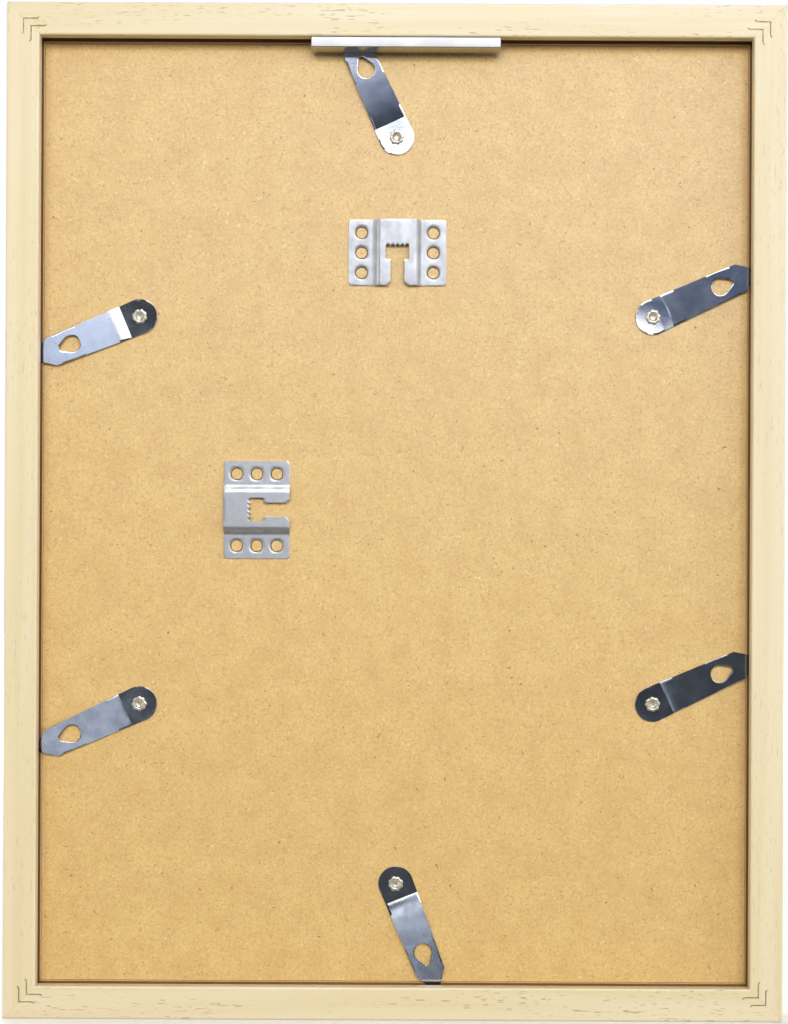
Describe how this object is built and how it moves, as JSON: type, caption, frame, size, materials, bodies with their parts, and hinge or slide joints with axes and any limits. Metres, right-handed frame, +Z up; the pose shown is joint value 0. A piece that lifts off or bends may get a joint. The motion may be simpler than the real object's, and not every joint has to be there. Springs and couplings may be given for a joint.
{
  "type": "picture frame",
  "caption": "Upright wooden picture frame with mitred rails, a fibreboard back panel held by swivelling turn tabs, sawtooth hangers for upright or lying format and a sliding hanging bar.",
  "frame": {"origin": "centre of the frame: halfway across its width, its depth and its height", "axes": "+Z up along the long side of the upright frame, +Y out of the back towards the wall, the picture looks along -Y, +X to the right as seen from the picture side"},
  "size_m": [0.33, 0.0242, 0.43],
  "materials": {
    "rail_wood": "pale, untreated, sanded",
    "fibreboard": "raw, matte",
    "card": "bare uncoated card",
    "pane_glass": "clear",
    "tab_steel": "bright nickel plate",
    "rivet_steel": "bright plate",
    "hanger_zinc": "zinc plate, satin",
    "bar_aluminium": "bright",
    "nail_steel": "dulled"
  },
  "bodies": {
    "frame": {"top_rail": "rail_wood", "bottom_rail": "rail_wood", "left_rail": "rail_wood", "right_rail": "rail_wood", "v_nail_top_left_outer": "nail_steel", "v_nail_top_left_inner": "nail_steel", "v_nail_top_right_outer": "nail_steel", "v_nail_top_right_inner": "nail_steel", "v_nail_bottom_left_outer": "nail_steel", "v_nail_bottom_left_inner": "nail_steel", "v_nail_bottom_right_outer": "nail_steel", "v_nail_bottom_right_inner": "nail_steel", "glass_pane": "pane_glass", "insert_card": "card", "back_panel": "fibreboard", "rivet_top": "rivet_steel", "rivet_bottom": "rivet_steel", "rivet_left_upper": "rivet_steel", "rivet_left_lower": "rivet_steel", "rivet_right_upper": "rivet_steel", "rivet_right_lower": "rivet_steel", "hanger_upright": "hanger_zinc", "hanger_lying": "hanger_zinc"},
    "turn_tab_top": {"turn_tab_top": "tab_steel"},
    "turn_tab_bottom": {"turn_tab_bottom": "tab_steel"},
    "turn_tab_left_upper": {"turn_tab_left_upper": "tab_steel"},
    "turn_tab_left_lower": {"turn_tab_left_lower": "tab_steel"},
    "turn_tab_right_upper": {"turn_tab_right_upper": "tab_steel"},
    "turn_tab_right_lower": {"turn_tab_right_lower": "tab_steel"},
    "hanging_bar": {"hanging_bar": "bar_aluminium"}
  },
  "joints": [
    {"name": "turn_tab_top_swivel", "type": "hinge", "parent": "frame", "child": "turn_tab_top", "pos_m": [-0.00004, -0.00093, 0.1611], "axis": [0, 1, 0], "range_deg": [-4, 110]},
    {"name": "turn_tab_bottom_swivel", "type": "hinge", "parent": "frame", "child": "turn_tab_bottom", "pos_m": [-0.00116, -0.00093, -0.159], "axis": [0, 1, 0], "range_deg": [-4, 156]},
    {"name": "turn_tab_left_upper_swivel", "type": "hinge", "parent": "frame", "child": "turn_tab_left_upper", "pos_m": [-0.11036, -0.00093, 0.08443], "axis": [0, 1, 0], "range_deg": [-4, 156]},
    {"name": "turn_tab_left_lower_swivel", "type": "hinge", "parent": "frame", "child": "turn_tab_left_lower", "pos_m": [-0.11094, -0.00093, -0.08157], "axis": [0, 1, 0], "range_deg": [-4, 156]},
    {"name": "turn_tab_right_upper_swivel", "type": "hinge", "parent": "frame", "child": "turn_tab_right_upper", "pos_m": [0.10974, -0.00093, 0.08367], "axis": [0, 1, 0], "range_deg": [-4, 156]},
    {"name": "turn_tab_right_lower_swivel", "type": "hinge", "parent": "frame", "child": "turn_tab_right_lower", "pos_m": [0.10916, -0.00093, -0.08233], "axis": [0, 1, 0], "range_deg": [-4, 156]},
    {"name": "hanging_bar_slide", "type": "slide", "parent": "frame", "child": "hanging_bar", "axis": [1, 0, 0], "range_m": [-0.1065, 0.1135]}
  ]
}
